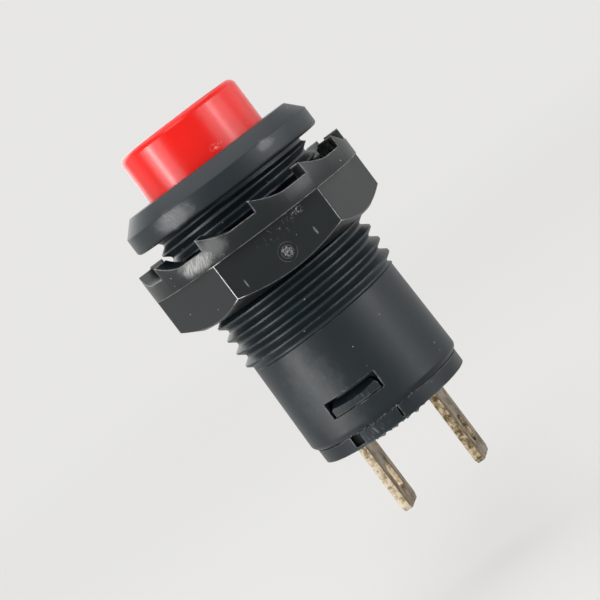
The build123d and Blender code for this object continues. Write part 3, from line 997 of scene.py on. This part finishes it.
def makeBlade(side, form):
    blade = copyOfNode("terminal_" + side, "solderBlade" + side.capitalize())
    roundEdges(blade, form["edge"], 2, 35)
    paint(shadeSmooth(blade), tinnedBrass if side == "left" else rightBladeBrass)
    blade.data.materials.append(tarnishedShadedBrass)
    for face in blade.data.polygons:
        # the broad faces look along x; they take the darker brass, tarnish with a painted dark reflection
        face.material_index = 1 if abs(face.normal.x) > 0.8 else 0
    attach(blade, "housing")
    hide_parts("terminal_" + side)


def makeLeaf(side, form):
    leaf = copyOfNode("contact_leaf_" + side, "contactLeaf" + side.capitalize())
    roundEdges(leaf, form["edge"], 1, 50)
    paint(shadeSmooth(leaf), contactBrass)
    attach(leaf, "housing")
    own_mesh(leaf)
    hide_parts("contact_leaf_" + side)


def makeFlash(name, form):
    fin = raggedFin(name, form, plugPlastic)
    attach(fin, "housing")


makePlug(plugForm)
makeFlash("rimFlash", rimFlash)
makeFlash("partingFlash", partingFlash)
for side in ("left", "right"):
    makeBlade(side, bladeForm)
for side in ("left", "right"):
    makeLeaf(side, leafForm)
print("plug, blades and contacts made")


# return spring
springForm = {
    "wire": 0.35,
    "turns": 9.0,
    "deadTurns": 1.0,
    "deadPitch": 1.03,        # of the end turns, as a share of the wire
    "travel": 3.0,            # of the button
    "steps": 40,
    "wireSides": 14,
}


def makeSpring(form):
    low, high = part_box("return_spring")
    wire = form["wire"] / 2
    radius = high.x / mm - wire
    angles = [2 * pi * side / form["wireSides"] for side in range(form["wireSides"] + 1)]
    outline = [(wire * cos(angle), wire * sin(angle)) for angle in angles]
    height = (high.z - low.z) / mm - form["wire"]
    dead = form["wire"] * form["deadPitch"]
    lead = (height - 2 * form["deadTurns"] * dead) / (form["turns"] - 2 * form["deadTurns"])
    coil = runTree("returnSpring", helicalSweep, outlineMesh(outline), springSteel, {
        "Turns": form["turns"], "Steps": form["steps"], "Radius": radius * mm, "Lead": lead * mm,
        "End Turns": form["deadTurns"], "End Lead": dead * mm, "Start Level": low.z + wire * mm})
    shadeSmooth(coil, 50)
    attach(coil, "housing")
    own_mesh(coil)
    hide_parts("return_spring")


makeSpring(springForm)
innerNodes = {"plunger": innerPlastic, "latch_rotor": innerPlastic, "contact_ring": contactBrass}
for node, material in innerNodes.items():
    thing = frame["nodes"][node]
    if not thing.data.materials:
        thing.data.materials.append(material)
    for slot in thing.material_slots:
        slot.material = material
print("spring and inner parts made")


# floor, light and camera
studio = {
    "floorGap": 0.3,
    "floorHalf": 1500.0,
    "floorShade": (232, 230, 226),
    "floorDarker": 4,         # how much darker its faint clouds are
    "floorCloud": 14.0,
    "floorRoughness": 0.9,
    "floorSpecular": 0.1,
    "floorReach": 60.0,       # where the plain shade starts to take over, and where it is all that shows
    "floorEnd": 300.0,
    "plainShare": 0.5,
    "skyTint": (0.84, 0.93, 1.0, 1.0),
    "skyStrength": 0.12,
    "backdrop": (0.80, 0.795, 0.785, 1.0),
}


def seenDirectly(tree):
    # 1 for what the camera sees, also in a reflection or through glass
    path = tree.nodes.new("ShaderNodeLightPath").outputs
    shown = calc(tree, "MAXIMUM", path["Is Camera Ray"], path["Is Transmission Ray"])
    return calc(tree, "MAXIMUM", shown, path["Is Glossy Ray"])


def makeFloor(form):
    # low enough for the nut to come off over the blades
    joints = frame["record"]["behaviour"]["joints"]
    travel = next(joint["range_m"] for joint in joints if joint["name"] == "nut_travel")
    level = min(cadLow.z, nutBox[0].z + min(travel)) / mm - form["floorGap"]
    half = form["floorHalf"]
    corners = [(-half, -half, level), (half, -half, level), (half, half, level), (-half, half, level)]
    floor = newObject("floor", newMesh("floor", corners, [], [(0, 1, 2, 3)]))
    material, tree, shader, place = newMaterial("paleFloor")
    darker = colour(*[value - form["floorDarker"] for value in form["floorShade"]])
    shade = mixColour(tree, cloud(tree, place, form["floorCloud"], 2.0), colour(*form["floorShade"]), darker)
    feed(tree, shader.inputs["Base Color"], shade)
    shader.inputs["Roughness"].default_value = form["floorRoughness"]
    shader.inputs["Specular IOR Level"].default_value = form["floorSpecular"]
    # part of the floor shows as a plain shade, and all of it far out, so no horizon shows
    plain = addNode(tree, "ShaderNodeEmission", {"Color": form["backdrop"], "Strength": 1.0})
    share = ramp(tree, vectorCalc(tree, "LENGTH", place), form["floorReach"] * mm, form["floorEnd"] * mm,
                 form["plainShare"], 1.0)
    share = times(tree, seenDirectly(tree), share)
    mixed = addNode(tree, "ShaderNodeMixShader", {0: share, 1: shader.outputs[0], 2: plain.outputs[0]})
    feed(tree, tree.nodes["Material Output"].inputs["Surface"], mixed.outputs[0])
    floor.data.materials.append(material)


def makeSky(form):
    world = bpy.data.worlds.new("studio")
    world.use_nodes = True
    bpy.context.scene.world = world
    tree = world.node_tree
    sky = tree.nodes["Background"]
    sky.inputs["Color"].default_value = form["skyTint"]
    sky.inputs["Strength"].default_value = form["skyStrength"]
    seen = addNode(tree, "ShaderNodeBackground", {"Color": form["backdrop"], "Strength": 1.0})
    mixed = addNode(tree, "ShaderNodeMixShader", {0: seenDirectly(tree), 1: sky.outputs[0],
                                                  2: seen.outputs[0]})
    feed(tree, tree.nodes["World Output"].inputs["Surface"], mixed.outputs[0])


viewing = {
    "azimuth": 16.0,          # degrees round from -Y towards +X
    "distance": 140.0,
    "level": 3.48,
    "tilt": 4.92,
    "swing": 0.24,
    "roll": 37.06,
    "lens": 129.3,
    "sensor": 36.0,
}
# each lamp: degrees to the right of the camera, then level, distance, width, height (metres) and power
lamps = {
    "topSoftbox": (0, 0.37, -0.05, 0.5, 0.4, 1.05),
    "frontSoftbox": (-8, 0.26, 0.28, 0.22, 0.22, 0.45),
    "leftStrip": (-66, -0.01, 0.30, 0.03, 0.24, 0.58),
    "leftPanel": (-62, 0.0, 0.36, 0.28, 0.26, 1.0),
    "leftEdge": (-110, 0.03, 0.34, 0.14, 0.24, 0.05),
    "rightStrip": (60, -0.01, 0.30, 0.03, 0.24, 0.32),
    "rightPanel": (62, 0.0, 0.36, 0.36, 0.26, 0.95),
    "rightEdge": (108, 0.0, 0.36, 0.24, 0.26, 0.14),
    "backFill": (-160, 0.12, 0.4, 0.3, 0.25, 0.3),
}
lampTarget = Vector((0, 0, -0.006))


def addLamp(name, angle, level, distance, width, height, power):
    lamp = bpy.data.lights.new(name, "AREA")
    lamp.shape = "RECTANGLE"
    lamp.size, lamp.size_y = width, height
    lamp.energy = power
    turn = radians(viewing["azimuth"] + angle)
    thing = newObject(name, lamp)
    thing.location = (sin(turn) * distance, -cos(turn) * distance, level)
    thing.rotation_mode = "QUATERNION"
    thing.rotation_quaternion = (lampTarget - thing.location).to_track_quat("-Z", "Y")


def turnPair(first, second, degreesRound):
    # both arms turned in their own plane
    turn = radians(degreesRound)
    return first * cos(turn) - second * sin(turn), second * cos(turn) + first * sin(turn)


def makeCamera(form):
    turn = radians(form["azimuth"])
    right = Vector((cos(turn), sin(turn), 0))
    ahead = Vector((-sin(turn), cos(turn), 0))
    up = Vector((0, 0, 1))
    ahead, right = turnPair(ahead, right, form["swing"])
    ahead, up = turnPair(ahead, up, form["tilt"])
    right, up = turnPair(right, up, form["roll"])
    lens = bpy.data.cameras.new("camera")
    lens.lens = form["lens"]
    lens.sensor_width = form["sensor"]
    lens.clip_start, lens.clip_end = 0.001, 50.0
    camera = newObject("camera", lens)
    place = Vector((sin(turn), -cos(turn), 0)) * form["distance"] * mm
    place.z = form["level"] * mm
    camera.matrix_world = Matrix((
        (right.x, up.x, -ahead.x, place.x),
        (right.y, up.y, -ahead.y, place.y),
        (right.z, up.z, -ahead.z, place.z),
        (0, 0, 0, 1)))
    bpy.context.scene.camera = camera


makeFloor(studio)
makeSky(studio)
for name, values in lamps.items():
    addLamp(name, *values)
makeCamera(viewing)
bpy.context.scene.view_settings.view_transform = "Standard"
print("studio made")
